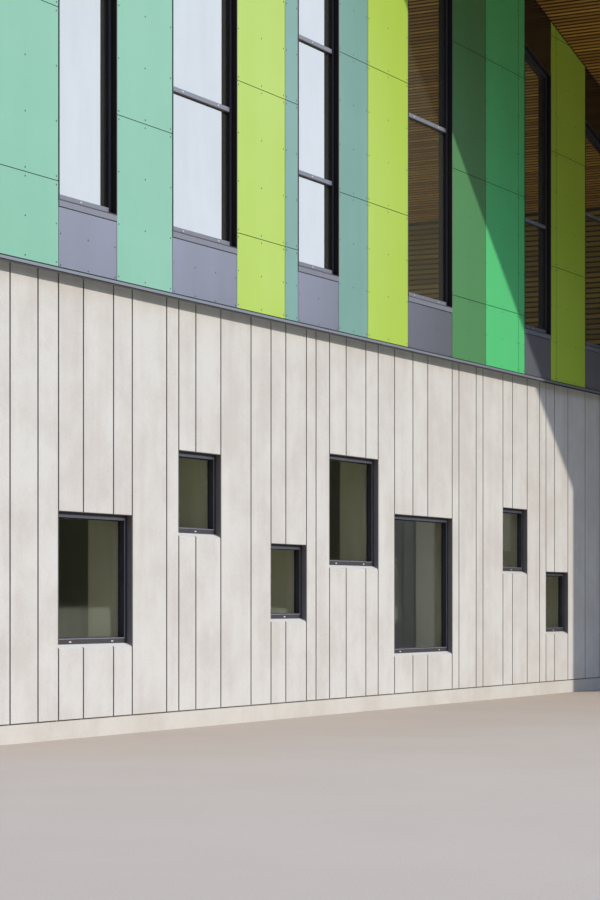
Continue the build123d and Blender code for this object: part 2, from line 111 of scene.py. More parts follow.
sunLamp = bpy.data.lights.new("sun", "SUN")
sunLamp.energy = lightSettings["sunStrength"]
sunLamp.color = lightSettings["sunColour"]
sunLamp.angle = math.radians(lightSettings["sunAngle"])
sun = bpy.data.objects.new("sun", sunLamp)
bpy.context.scene.collection.objects.link(sun)
sun.rotation_euler = Vector(lightSettings["towardsSun"]).to_track_quat("Z", "Y").to_euler()


def addNode(tree, kind, **settings):
    node = tree.nodes.new(kind)
    for key, value in settings.items():
        setattr(node, key, value)
    return node


def feed(tree, socket, value):
    # a number or colour is set on the socket, anything else is linked to it
    if isinstance(value, bpy.types.NodeSocket):
        tree.links.new(value, socket)
    else:
        socket.default_value = value


def maths(tree, operation, first, second=0.0):
    node = addNode(tree, "ShaderNodeMath", operation=operation)
    feed(tree, node.inputs[0], first)
    feed(tree, node.inputs[1], second)
    return node.outputs[0]


def remap(tree, value, low, high, toLow=0.0, toHigh=1.0):
    node = addNode(tree, "ShaderNodeMapRange", interpolation_type="SMOOTHSTEP")
    feed(tree, node.inputs["Value"], value)
    feed(tree, node.inputs["From Min"], low)
    feed(tree, node.inputs["From Max"], high)
    feed(tree, node.inputs["To Min"], toLow)
    feed(tree, node.inputs["To Max"], toHigh)
    return node.outputs["Result"]


def asColour(value):
    return value if isinstance(value, bpy.types.NodeSocket) else (*value[:3], 1)


def mixColours(tree, share, first, second, blend="MIX"):
    node = addNode(tree, "ShaderNodeMix", data_type="RGBA", blend_type=blend)
    feed(tree, node.inputs["Factor"], share)
    feed(tree, node.inputs["A"], asColour(first))
    feed(tree, node.inputs["B"], asColour(second))
    return node.outputs["Result"]


def makeSky():
    world = bpy.data.worlds.new("sky")
    world.use_nodes = True
    bpy.context.scene.world = world
    tree = world.node_tree
    tree.nodes.clear()
    direction = addNode(tree, "ShaderNodeTexCoord").outputs["Generated"]
    height = addNode(tree, "ShaderNodeSeparateXYZ")
    tree.links.new(direction, height.inputs[0])

    def nearTo(way, reach):
        facing = addNode(tree, "ShaderNodeVectorMath", operation="DOT_PRODUCT")
        tree.links.new(direction, facing.inputs[0])
        facing.inputs[1].default_value = Vector(way).normalized()
        return remap(tree, facing.outputs["Value"], *reach)

    glow = nearTo(lightSettings["towardsSun"], lightSettings["glowReach"])
    clearing = nearTo(lightSettings["clearing"], lightSettings["clearingReach"])
    treeTop = remap(tree, clearing, 0, 1, lightSettings["treeTop"], lightSettings["clearingTop"])
    treeEnd = maths(tree, "ADD", treeTop, lightSettings["treeBlur"])
    aboveTrees = remap(tree, height.outputs["Z"], treeTop, treeEnd)
    risen = remap(tree, height.outputs["Z"], *lightSettings["skyRise"])
    sky = mixColours(tree, risen, lightSettings["lowSky"], lightSettings["highSky"])
    sky = mixColours(tree, glow, sky, lightSettings["glowColour"])
    sky = mixColours(tree, clearing, sky, lightSettings["clearingColour"])
    sky = mixColours(tree, aboveTrees, lightSettings["treeColour"], sky)
    seen = addNode(tree, "ShaderNodeLightPath").outputs["Is Camera Ray"]
    sky = mixColours(tree, seen, sky, lightSettings["backdropColour"])
    background = addNode(tree, "ShaderNodeBackground")
    tree.links.new(sky, background.inputs["Color"])
    output = addNode(tree, "ShaderNodeOutputWorld")
    tree.links.new(background.outputs[0], output.inputs["Surface"])


makeSky()
print("camera and light set")

# Shared effects


def makeGroup(name, inputs, outputs):
    group = bpy.data.node_groups.new(name, "ShaderNodeTree")
    for label, kind, value in inputs:
        socket = group.interface.new_socket(
            name=label, in_out="INPUT", socket_type="NodeSocket" + kind
        )
        if value is not None:
            socket.default_value = value
    for label, kind in outputs:
        group.interface.new_socket(name=label, in_out="OUTPUT", socket_type="NodeSocket" + kind)
    return group, group.nodes.new("NodeGroupInput"), group.nodes.new("NodeGroupOutput")


def noise(tree, vector, scale, detail=3.0, roughness=0.55):
    node = addNode(tree, "ShaderNodeTexNoise")
    tree.links.new(vector, node.inputs["Vector"])
    feed(tree, node.inputs["Scale"], scale)
    node.inputs["Detail"].default_value = detail
    node.inputs["Roughness"].default_value = roughness
    return node.outputs["Fac"]


mottleReach = (0.36, 0.64)
boardLuck = {"middle": (0.05, 0.6), "light": (0.55, 0.95)}
grainReach = (0.35, 0.7, 0.0, 0.35)


def makeMottle():
    # soft clouds and upright streaks between two tones, with a fine grain for the bump
    group, start, end = makeGroup(
        "mottle",
        [
            ("Vector", "Vector", None),
            ("Light", "Color", (0.6, 0.6, 0.6, 1)),
            ("Dark", "Color", (0.5, 0.5, 0.5, 1)),
            ("Cloud Size", "Float", 0.5),
            ("Streak Width", "Float", 0.2),
            ("Streak Length", "Float", 3.0),
            ("Streak Share", "Float", 0.4),
            ("Grain Size", "Float", 0.01),
            ("Grain Tone", "Float", 0.05),
        ],
        [("Color", "Color"), ("Height", "Float"), ("Mask", "Float")],
    )
    value = start.outputs
    cloudScale = maths(group, "DIVIDE", 1.0, value["Cloud Size"])
    clouds = noise(group, value["Vector"], cloudScale, detail=5.0, roughness=0.6)
    stretch = addNode(group, "ShaderNodeCombineXYZ")
    across = maths(group, "DIVIDE", 1.0, value["Streak Width"])
    group.links.new(across, stretch.inputs[0])
    group.links.new(across, stretch.inputs[1])
    group.links.new(maths(group, "DIVIDE", 1.0, value["Streak Length"]), stretch.inputs[2])
    stretched = addNode(group, "ShaderNodeVectorMath", operation="MULTIPLY")
    group.links.new(value["Vector"], stretched.inputs[0])
    group.links.new(stretch.outputs[0], stretched.inputs[1])
    streaks = noise(group, stretched.outputs[0], 1.0, detail=3.0, roughness=0.5)
    blend = addNode(group, "ShaderNodeMix", data_type="FLOAT")
    group.links.new(value["Streak Share"], blend.inputs["Factor"])
    group.links.new(clouds, blend.inputs["A"])
    group.links.new(streaks, blend.inputs["B"])
    mask = remap(group, blend.outputs["Result"], *mottleReach)
    grainScale = maths(group, "DIVIDE", 1.0, value["Grain Size"])
    grain = noise(group, value["Vector"], grainScale, detail=2.0, roughness=0.6)
    tone = mixColours(group, mask, value["Light"], value["Dark"])
    speckle = maths(group, "MULTIPLY", maths(group, "SUBTRACT", grain, 0.5), value["Grain Tone"])
    lift = addNode(group, "ShaderNodeCombineXYZ")
    for axis in range(3):
        group.links.new(speckle, lift.inputs[axis])
    speckled = mixColours(group, 1.0, tone, lift.outputs[0], "ADD")
    group.links.new(speckled, end.inputs["Color"])
    group.links.new(grain, end.inputs["Height"])
    group.links.new(mask, end.inputs["Mask"])
    return group


def makeBoardGrain():
    # boards side by side along one axis, each with its own tone, and grain that runs along another
    group, start, end = makeGroup(
        "boardGrain",
        [
            ("Vector", "Vector", None),
            ("Across", "Vector", (1, 0, 0)),
            ("Stretch", "Vector", (60, 2, 60)),
            ("Pitch", "Float", 0.1),
            ("Light", "Color", (0.4, 0.3, 0.15, 1)),
            ("Middle", "Color", (0.3, 0.2, 0.1, 1)),
            ("Dark", "Color", (0.2, 0.12, 0.06, 1)),
        ],
        [("Color", "Color"), ("Height", "Float")],
    )
    value = start.outputs
    distance = addNode(group, "ShaderNodeVectorMath", operation="DOT_PRODUCT")
    group.links.new(value["Vector"], distance.inputs[0])
    group.links.new(value["Across"], distance.inputs[1])
    boards = maths(group, "DIVIDE", distance.outputs["Value"], value["Pitch"])
    number = maths(group, "FLOOR", boards)
    chance = addNode(group, "ShaderNodeTexWhiteNoise", noise_dimensions="1D")
    group.links.new(number, chance.inputs["W"])
    stretched = addNode(group, "ShaderNodeVectorMath", operation="MULTIPLY")
    group.links.new(value["Vector"], stretched.inputs[0])
    group.links.new(value["Stretch"], stretched.inputs[1])
    shifted = addNode(group, "ShaderNodeVectorMath", operation="ADD")
    group.links.new(stretched.outputs[0], shifted.inputs[0])
    group.links.new(chance.outputs["Color"], shifted.inputs[1])
    grain = noise(group, shifted.outputs[0], 1.0, detail=4.0, roughness=0.6)
    luck = chance.outputs["Value"]
    middling = remap(group, luck, *boardLuck["middle"])
    tone = mixColours(group, middling, value["Dark"], value["Middle"])
    tone = mixColours(group, remap(group, luck, *boardLuck["light"]), tone, value["Light"])
    grained = mixColours(group, remap(group, grain, *grainReach), tone, value["Dark"])
    group.links.new(grained, end.inputs["Color"])
    group.links.new(grain, end.inputs["Height"])
    return group


mottle = makeMottle()
boardGrain = makeBoardGrain()


def startMaterial(name, **shaderValues):
    material = bpy.data.materials.new(name)
    material.use_nodes = True
    shader = material.node_tree.nodes["Principled BSDF"]
    for label, value in shaderValues.items():
        shader.inputs[label].default_value = value
    return material, material.node_tree, shader


def placeGroup(tree, group, values):
    node = addNode(tree, "ShaderNodeGroup", node_tree=group)
    position = addNode(tree, "ShaderNodeTexCoord").outputs["Object"]
    tree.links.new(position, node.inputs["Vector"])
    for label, value in values.items():
        socket = node.inputs[label]
        socket.default_value = (*value, 1) if socket.type == "RGBA" else value
    return node


def addBump(tree, shader, height, strength, distance):
    bump = addNode(tree, "ShaderNodeBump")
    bump.inputs["Strength"].default_value = strength
    bump.inputs["Distance"].default_value = distance
    tree.links.new(height, bump.inputs["Height"])
    tree.links.new(bump.outputs["Normal"], shader.inputs["Normal"])


def mottledMaterial(
    name, mottleValues, bumpStrength, bumpDistance, roughness, spread=0.0, **shaderValues
):
    material, tree, shader = startMaterial(name, **shaderValues)
    pattern = placeGroup(tree, mottle, mottleValues)
    tree.links.new(pattern.outputs["Color"], shader.inputs["Base Color"])
    uneven = remap(tree, pattern.outputs["Mask"], 0, 1, roughness - spread, roughness + spread)
    tree.links.new(uneven, shader.inputs["Roughness"])
    addBump(tree, shader, pattern.outputs["Height"], bumpStrength, bumpDistance)
    return material


def facingParts(tree):
    parts = addNode(tree, "ShaderNodeSeparateXYZ")
    tree.links.new(addNode(tree, "ShaderNodeNewGeometry").outputs["Normal"], parts.inputs[0])
    return parts.outputs


def placeParts(tree):
    parts = addNode(tree, "ShaderNodeSeparateXYZ")
    tree.links.new(addNode(tree, "ShaderNodeTexCoord").outputs["Object"], parts.inputs[0])
    return parts.outputs


boardBumpDistance = 0.001
slatSideReach = (0.6, 0.9)


def boardMaterial(name, boardValues, bumpStrength, roughness, sideShadeTone=None):
    material, tree, shader = startMaterial(name, Roughness=roughness)
    pattern = placeGroup(tree, boardGrain, boardValues)
    tone = pattern.outputs["Color"]
    if sideShadeTone:
        # painted shade on the sides that neighbouring slats turn to each other
        axis = boardValues["Across"].index(1)
        turned = maths(tree, "ABSOLUTE", facingParts(tree)[axis])
        sides = remap(tree, turned, *slatSideReach)
        tone = mixColours(tree, sides, tone, sideShadeTone)
    tree.links.new(tone, shader.inputs["Base Color"])
    addBump(tree, shader, pattern.outputs["Height"], bumpStrength, boardBumpDistance)
    return material


# Finishes

concreteFinish = {
    "Light": (0.590, 0.580, 0.550),
    "Dark": (0.525, 0.497, 0.462),
    "Cloud Size": 0.7,
    "Streak Width": 0.22,
    "Streak Length": 2.5,
    "Streak Share": 0.3,
    "Grain Size": 0.014,
    "Grain Tone": 0.12,
}
plinthFinish = {
    **concreteFinish,
    "Light": (0.57, 0.545, 0.495),
    "Dark": (0.52, 0.49, 0.44),
    "Streak Share": 0.1,
}
slabFinish = {
    **concreteFinish,
    "Light": (0.46, 0.45, 0.43),
    "Dark": (0.40, 0.39, 0.37),
    "Streak Share": 0.0,
}

# painted shade: a dark tone for the sides of the concrete grooves
grooveShadeTone = (0.27, 0.245, 0.21)
# painted shade for faces that look up
ledgeShadeTone = (0.46, 0.45, 0.42)
grooveReach = {
    "upright": (0.3, 0.5),
    "begins": (0.001, 0.006),
    "ends": (0.055, 0.064),
    "fromEnd": (0.001, 0.003),
}
ledgeReach = (0.5, 0.8)


def grooveShadeMask(tree, nodeName, out):
    # upright faces that lie just behind a wall's outer face, without the ends of the wall: the
    # sides of the grooves, which get painted shade
    low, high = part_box(nodeName)
    axis = 0 if out[0] else 1
    other = 1 - axis
    surface = high[axis] if out[axis] > 0 else low[axis]
    place = placeParts(tree)
    depth = maths(tree, "MULTIPLY", maths(tree, "SUBTRACT", surface, place[axis]), float(out[axis]))
    fromLow = maths(tree, "SUBTRACT", place[other], low[other])
    fromHigh = maths(tree, "SUBTRACT", high[other], place[other])
    level = maths(tree, "ABSOLUTE", facingParts(tree)[2])
    mask = remap(tree, level, *grooveReach["upright"], 1, 0)
    mask = maths(tree, "MULTIPLY", mask, remap(tree, depth, *grooveReach["begins"]))
    mask = maths(tree, "MULTIPLY", mask, remap(tree, depth, *grooveReach["ends"], 1, 0))
    fromEnd = maths(tree, "MINIMUM", fromLow, fromHigh)
    return maths(tree, "MULTIPLY", mask, remap(tree, fromEnd, *grooveReach["fromEnd"]))


def wallConcrete(nodeName, out):
    material = mottledMaterial(
        nodeName + "Finish", concreteFinish,
        bumpStrength=0.35, bumpDistance=0.003, roughness=0.82, spread=0.06,
    )
    tree = material.node_tree
    colour = tree.nodes["Principled BSDF"].inputs["Base Color"]
    unshaded = colour.links[0].from_socket
    # painted shade: the sides of the grooves are mixed towards a dark tone
    grooveShaded = mixColours(tree, grooveShadeMask(tree, nodeName, out), unshaded, grooveShadeTone)
    # the sills and other ledges are painted darker than the upright faces: painted shade against
    # the sky light that falls on faces that look up
    shadedLedges = remap(tree, facingParts(tree)[2], *ledgeReach)
    tree.links.new(mixColours(tree, shadedLedges, grooveShaded, ledgeShadeTone), colour)
    return material


wallWays = {
    "front": (0, -1, 0),
    "court": (-1, 0, 0),
    "wing": (0, -1, 0),
    "right": (1, 0, 0),
    "back": (0, 1, 0),
    "left": (-1, 0, 0),
}
plinthConcrete = mottledMaterial(
    "plinthConcrete", plinthFinish,
    bumpStrength=0.3, bumpDistance=0.003, roughness=0.85, spread=0.05,
)
slabConcrete = mottledMaterial(
    "slabConcrete", slabFinish,
    bumpStrength=0.15, bumpDistance=0.002, roughness=0.7, spread=0.08,
)


def makePavement():
    # a plain pale floor, that throws less light back the farther it lies from the building
    material, tree, shader = startMaterial("pavement", Roughness=0.8)
    tones = {"Light": floorSettings["light"], "Dark": floorSettings["dark"], "Cloud Size": 2.0}
    shown = placeGroup(tree, mottle, {**slabFinish, **tones}).outputs["Color"]
    place = placeParts(tree)
    # the building lies evenly about the origin, so its far corner gives both reaches
    farCorner = cadBox[1]
    beyond = [
        maths(tree, "SUBTRACT", maths(tree, "ABSOLUTE", place[axis]), farCorner[axis])
        for axis in (0, 1)
    ]
    far = remap(tree, maths(tree, "MAXIMUM", *beyond), *floorSettings["bounceReach"])
    bounce = mixColours(tree, far, floorSettings["bounceNear"], floorSettings["bounceFar"])
    seen = addNode(tree, "ShaderNodeLightPath").outputs["Is Camera Ray"]
    tree.links.new(mixColours(tree, seen, bounce, shown), shader.inputs["Base Color"])
    return material


pavement = makePavement()

panelColours = {
    "mint": ((0.225, 0.50, 0.35), (0.20, 0.47, 0.33)),
    "lime": ((0.42, 0.60, 0.072), (0.395, 0.575, 0.058)),
    "teal": ((0.175, 0.35, 0.295), (0.155, 0.325, 0.27)),
    "moss": ((0.090, 0.275, 0.112), (0.080, 0.255, 0.102)),
    "green": ((0.105, 0.595, 0.225), (0.092, 0.56, 0.205)),
    "grey": ((0.125, 0.138, 0.172), (0.113, 0.126, 0.160)),
}
# near-black for the board edges: their dark raw edges, and painted shade in the joints
edgeAndJointShade = (0.018, 0.020, 0.020)
cladProud = 0.09
boardReach = (0.0102, 0.0110)
frameReach = (0.17, 0.20)
turnedReach = (0.5, 0.7)


def makeSideways():
    # faces of the cladding that look up, down or along the wall they hang on
    group, start, end = makeGroup(
        "sideways", [("Begins", "Float", 0.01), ("Ends", "Float", 0.011)], [("Mask", "Float")]
    )
    begins, ends = start.outputs["Begins"], start.outputs["Ends"]
    place = placeParts(group)
    facing = [maths(group, "ABSOLUTE", part) for part in facingParts(group)[:3]]
    turned = [remap(group, part, *turnedReach) for part in facing]
    mask = turned[2]
    for name, out in wallWays.items():
        low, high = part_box("concrete_wall_" + name)
        axis = 0 if out[0] else 1
        surface = high[axis] + cladProud if out[axis] > 0 else low[axis] - cladProud
        behind = maths(group, "ABSOLUTE", maths(group, "SUBTRACT", place[axis], surface))
        along = maths(group, "MULTIPLY", remap(group, behind, begins, ends, 1, 0), turned[1 - axis])
        mask = maths(group, "MAXIMUM", mask, along)
    group.links.new(mask, end.inputs["Mask"])
    return group


sideways = makeSideways()


# paints the faces that look up, down or sideways in a dark tone: painted shade
def paintSideShade(material, reach, sideShadeTone):
    tree = material.node_tree
    colour = tree.nodes["Principled BSDF"].inputs["Base Color"]
    node = addNode(tree, "ShaderNodeGroup", node_tree=sideways)
    node.inputs["Begins"].default_value, node.inputs["Ends"].default_value = reach
    toned = mixColours(tree, node.outputs["Mask"], colour.links[0].from_socket, sideShadeTone)
    tree.links.new(toned, colour)
    return material


panelPattern = {
    "Cloud Size": 1.6,
    "Streak Width": 0.5,
    "Streak Length": 5.0,
    "Streak Share": 0.45,
    "Grain Size": 0.004,
    "Grain Tone": 0.015,
}
# the grey boards are glossier than the others
panelGloss = {"bend": 1.55, "greyBend": 2.7, "roughness": 0.24, "spread": 0.03}


def panelMaterial(name, light, dark):
    values = {**panelPattern, "Light": light, "Dark": dark}
    bend = panelGloss["greyBend" if name == "grey" else "bend"]
    material = mottledMaterial(
        name + "Board", values, bumpStrength=0.05, bumpDistance=0.0005,
        roughness=panelGloss["roughness"], spread=panelGloss["spread"], IOR=bend,
    )
    # the board edges in the joints are painted near-black: raw edges and painted shade
    return paintSideShade(material, boardReach, edgeAndJointShade)


panelFinishes = {name: panelMaterial(name, *pair) for name, pair in panelColours.items()}
headBoard = panelMaterial("dark", (0.013, 0.010, 0.011), (0.010, 0.008, 0.009))

metalPattern = {
    "Cloud Size": 0.3,
    "Streak Width": 0.05,
    "Streak Length": 1.2,
    "Streak Share": 0.5,
    "Grain Size": 0.003,
    "Grain Tone": 0.012,
}


def metalMaterial(name, light, dark, metallic, roughness, **shaderValues):
    values = {**metalPattern, "Light": light, "Dark": dark}
    return mottledMaterial(
        name, values, bumpStrength=0.06, bumpDistance=0.0004,
        roughness=roughness, spread=0.05, Metallic=metallic, **shaderValues,
    )


greyCoat = metalMaterial(
    "greyCoat", (0.215, 0.23, 0.28), (0.19, 0.205, 0.25), metallic=0.3, roughness=0.42
)
darkCoat = metalMaterial(
    "darkCoat", (0.056, 0.050, 0.055), (0.046, 0.041, 0.046), metallic=0.3, roughness=0.45
)
frameCoat = metalMaterial(
    "frameCoat", (0.075, 0.062, 0.072), (0.065, 0.054, 0.063),
    metallic=0.0, roughness=0.5, IOR=1.3,
)
# painted shade: the faces of the frames that look up, down or sideways are painted near-black, for
# the shade in the reveals
frameCoat = paintSideShade(frameCoat, frameReach, (0.013, 0.010, 0.012))
# painted highlight: light metal for the strips that stand for the bright edges of the window frames
frameHighlightCoat = metalMaterial(
    "frameHighlightCoat", (0.30, 0.31, 0.37), (0.26, 0.27, 0.33), metallic=0.4, roughness=0.35
)
revealCoat = metalMaterial(
    "revealCoat", (0.20, 0.172, 0.160), (0.175, 0.15, 0.142), metallic=0.1, roughness=0.5
)
foldedSheet = metalMaterial(
    "foldedSheet", (0.245, 0.275, 0.315), (0.215, 0.24, 0.28), metallic=0.35, roughness=0.42
)
brushedSteel = metalMaterial(
    "brushedSteel", (0.62, 0.61, 0.60), (0.52, 0.51, 0.50), metallic=1.0, roughness=0.32
)
screwMetal = metalMaterial(
    "screwMetal", (0.035, 0.04, 0.035), (0.028, 0.03, 0.028), metallic=0.1, roughness=0.6
)
weepCap = metalMaterial(
    "weepCap", (0.75, 0.75, 0.78), (0.68, 0.68, 0.72), metallic=0.2, roughness=0.4
)

barrierPattern = {**panelPattern, "Light": (0.030, 0.030, 0.033), "Dark": (0.022, 0.022, 0.025)}
windBarrier = mottledMaterial(
    "windBarrier", barrierPattern, bumpStrength=0.2, bumpDistance=0.001, roughness=0.85
)
gasketPattern = {**barrierPattern, "Light": (0.02, 0.02, 0.022)}
gasket = mottledMaterial(
    "gasket", gasketPattern, bumpStrength=0.1, bumpDistance=0.0005, roughness=0.6
)

timberTones = {
    "Light": (0.64, 0.32, 0.05),
    "Middle": (0.50, 0.235, 0.034),
    "Dark": (0.32, 0.14, 0.020),
}
# painted shade for the sides of the timber slats
timberSideShade = (0.12, 0.055, 0.010)
wallTimberTones = {
    "Light": (0.42, 0.26, 0.06),
    "Middle": (0.33, 0.20, 0.042),
    "Dark": (0.23, 0.125, 0.025),
}
slatPitch = 0.095
soffitTimber = boardMaterial(
    "soffitTimber",
    {**timberTones, "Across": (1, 0, 0), "Stretch": (70, 1.6, 70), "Pitch": slatPitch},
    bumpStrength=0.3,
    roughness=0.6,
    sideShadeTone=timberSideShade,
)
wallTimber = boardMaterial(
    "wallTimber",
    {**wallTimberTones, "Across": (0, 0, 1), "Stretch": (70, 1.6, 70), "Pitch": slatPitch},
    bumpStrength=0.3,
    roughness=0.6,
    sideShadeTone=timberSideShade,
)
deckTimber = boardMaterial(
    "deckTimber",
    {
        "Light": (0.46, 0.38, 0.27),
        "Middle": (0.40, 0.32, 0.22),
        "Dark": (0.31, 0.24, 0.16),
        "Across": (1, 0, 0),
        "Stretch": (30, 1.0, 30),
        "Pitch": 0.6,
    },
    bumpStrength=0.2,
    roughness=0.7,
)
paintedTimber = boardMaterial(
    "paintedTimber",
    {
        "Light": (0.90, 0.88, 0.80),
        "Middle": (0.88, 0.86, 0.78),
        "Dark": (0.85, 0.83, 0.75),
        "Across": (0, 0, 1),
        "Stretch": (20, 20, 2),
        "Pitch": 3.0,
    },
    bumpStrength=0.05,
    roughness=0.5,
)
felt = mottledMaterial(
    "roofFelt",
    {
        "Light": (0.115, 0.115, 0.125),
        "Dark": (0.085, 0.085, 0.095),
        "Cloud Size": 1.2,
        "Streak Width": 0.9,
        "Streak Length": 1.0,
        "Streak Share": 0.3,
        "Grain Size": 0.006,
        "Grain Tone": 0.04,
    },
    bumpStrength=0.6,
    bumpDistance=0.002,
    roughness=0.88,
)

glassDust = {"shade": 0.94, "rougher": 0.02}


def glassMaterial(name, tint, metallic, transmission, roughness):
    material, tree, shader = startMaterial(
        name, **{"Metallic": metallic, "Transmission Weight": transmission, "IOR": 1.5}
    )
    dust = placeGroup(
        tree,
        mottle,
        {
            "Light": tint,
            "Dark": tuple(glassDust["shade"] * value for value in tint),
            "Cloud Size": 0.8,
            "Streak Width": 0.3,
            "Streak Length": 2.0,
            "Streak Share": 0.5,
            "Grain Size": 0.02,
            "Grain Tone": 0.0,
        },
    )
    tree.links.new(dust.outputs["Color"], shader.inputs["Base Color"])
    roughest = roughness + glassDust["rougher"]
    uneven = remap(tree, dust.outputs["Mask"], 0, 1, roughness, roughest)
    tree.links.new(uneven, shader.inputs["Roughness"])
    return material


coatedGlass = glassMaterial(
    "coatedGlass", (0.77, 0.79, 0.635), metallic=0.85, transmission=0.72, roughness=0.015
)
clearGlass = glassMaterial(
    "clearGlass", (0.985, 0.99, 0.84), metallic=0.04, transmission=1.0, roughness=0.01
)

wallFinishes = {
    "concrete_wall_" + name: wallConcrete("concrete_wall_" + name, out)
    for name, out in wallWays.items()
}
nodeFinishes = {
    "plinth": plinthConcrete,
    "ground_floor_slab": slabConcrete,
    "upper_floor_slab": slabConcrete,
    "upper_wall": windBarrier,
    "ground_window_frames": darkCoat,
    "ground_window_linings": paintedTimber,
    "ground_window_glass": clearGlass,
    "drip_strip": foldedSheet,
    "window_head_panels": headBoard,
    "tall_window_frames": frameCoat,
    "tall_window_transoms": greyCoat,
    "tall_window_sills": greyCoat,
    "tall_window_glass": coatedGlass,
    "timber_wall_boards": wallTimber,
    "canopy_soffit_boards": soffitTimber,
    "roof_deck": deckTimber,
    "roof_membrane": felt,
    "roof_edge_upstand": felt,
    "roof_fascia": darkCoat,
    "door_frame": darkCoat,
    "door_leaves": darkCoat,
    "door_glass": clearGlass,
    "door_hinges": brushedSteel,
    "door_handles": brushedSteel,
    **{"panels_" + name: material for name, material in panelFinishes.items()},
    **wallFinishes,
}


def finishOf(nodeName):
    for start, material in nodeFinishes.items():
        if nodeName.startswith(start):
            return material
    raise ValueError("no finish for " + nodeName)


for nodeName, node in nodes.items():
    node.data.materials.clear()
    node.data.materials.append(finishOf(nodeName))
print("finishes set on the nodes")

# Floor

floorMesh = bpy.data.meshes.new("floor")
floorShape = bmesh.new()
bmesh.ops.create_grid(floorShape, x_segments=1, y_segments=1, size=floorSettings["size"] / 2)
floorShape.to_mesh(floorMesh)
floorShape.free()
floor = bpy.data.objects.new("floor", floorMesh)
floorMesh.materials.append(pavement)
bpy.context.scene.collection.objects.link(floor)

# Helpers for new pieces


def finishPiece(shape, name, material, replaced=()):
    bmesh.ops.recalc_face_normals(shape, faces=shape.faces)
    mesh = bpy.data.meshes.new(name)
    shape.to_mesh(mesh)
    shape.free()
    mesh.materials.append(material)
    piece = bpy.data.objects.new(name, mesh)
    bpy.context.scene.collection.objects.link(piece)
    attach(piece, "root")
    if replaced:
        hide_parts(*replaced)
    print(name, "made,", len(mesh.polygons), "faces")


def addBlock(shape, out, centre, size):
    # size is along the wall, out from it and up
    across = Vector((out.y, -out.x, 0))
    turn = Matrix((across, out, Vector((0, 0, 1)))).transposed().to_4x4()
    place = Matrix.Translation(centre) @ turn @ Matrix.Diagonal((*size, 1))
    return bmesh.ops.create_cube(shape, size=1, matrix=place)["verts"]


mergeSettings = {"distance": 0.0002, "flatness": math.radians(0.5)}


def nodeShape(nodeName):
    shape = bmesh.new()
    shape.from_mesh(nodes[nodeName].data)
    bmesh.ops.remove_doubles(shape, verts=shape.verts, dist=mergeSettings["distance"])
    bmesh.ops.dissolve_limit(
        shape,
        angle_limit=mergeSettings["flatness"],
        verts=shape.verts,
        edges=shape.edges,
        delimit={"NORMAL"},
    )
    return shape


def islandsOf(nodeName):
    # the corner points of each separate solid of a node, in the order of the mesh
    shape = nodeShape(nodeName)
    reached = set()
    found = []
    for first in shape.verts:
        if first in reached:
            continue
        reached.add(first)
        edgeOfIsland = [first]
        island = []
        while edgeOfIsland:
            corner = edgeOfIsland.pop()
            island.append(corner.co.copy())
            for edge in corner.link_edges:
                other = edge.other_vert(corner)
                if other not in reached:
                    reached.add(other)
                    edgeOfIsland.append(other)
        found.append(island)
    shape.free()
    return found


wallLines = {
    "front": (Vector((0, -1, 0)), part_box("concrete_wall_front")),
    "court": (Vector((-1, 0, 0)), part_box("concrete_wall_court")),
    "wing": (Vector((0, -1, 0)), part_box("concrete_wall_wing")),
    "right": (Vector((1, 0, 0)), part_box("concrete_wall_right")),
    "back": (Vector((0, 1, 0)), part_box("concrete_wall_back")),
    "left": (Vector((-1, 0, 0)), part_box("concrete_wall_left")),
}
wallReach = 0.3
touching = 0.001


def outwardOf(points):
    # the wall whose outer face lies nearest to the points
    middle = sum(points, Vector()) / len(points)
    best = None
    for out, (low, high) in wallLines.values():
        surface = high if out.x + out.y > 0 else low
        off = abs((middle - surface).dot(out))
        inside = all(
            low[axis] - wallReach < middle[axis] < high[axis] + wallReach for axis in (0, 1)
        )
        if inside and (best is None or off < best[0]):
            best = (off, out, surface)
    return best[1], best[2]


def spanOf(points, out):
    along = Vector((-out.y, out.x, 0))
    reaches = [point.dot(along) for point in points]
    outs = [point.dot(out) for point in points]
    heights = [point.z for point in points]
    return along, min(reaches), max(reaches), min(outs), max(outs), min(heights), max(heights)


def topAt(points, along, place):
    # height of the top edge of a piece, level or raked, at a place along the wall
    left = min(point.dot(along) for point in points)
    right = max(point.dot(along) for point in points)
    leftTop = max(point.z for point in points if point.dot(along) < left + touching)
    rightTop = max(point.z for point in points if point.dot(along) > right - touching)
    return leftTop + (rightTop - leftTop) * (place - left) / (right - left)


# Timber slats of the canopy

slatSizes = {"width": 0.056, "depth": 0.045, "backing": 0.008, "edge": 0.003, "lining": 0.06}
shortEdge = 1.0  # the ends of a slat are shorter than this, and its sides longer
uprightLimit = 0.3
spare = 1.0  # how much longer a row is made than the sheet that it is cut to


def sidePlanes(shape):
    planes = []
    for face in shape.faces:
        if abs(face.normal.z) < uprightLimit:
            planes.append((face.calc_center_median(), face.normal.copy()))
    return planes


def trim(shape, point, normal):
    cut = bmesh.ops.bisect_plane(
        shape,
        geom=shape.verts[:] + shape.edges[:] + shape.faces[:],
        plane_co=point,
        plane_no=normal,
        clear_outer=True,
    )
    edges = [item for item in cut["geom_cut"] if isinstance(item, bmesh.types.BMEdge)]
    if edges:
        bmesh.ops.edgeloop_fill(shape, edges=edges)


def bevelEdges(shape, edges, offset):
    bmesh.ops.bevel(
        shape, geom=edges, offset=offset, offset_type="OFFSET", affect="EDGES",
        segments=1, profile=0.5, material=-1,
    )


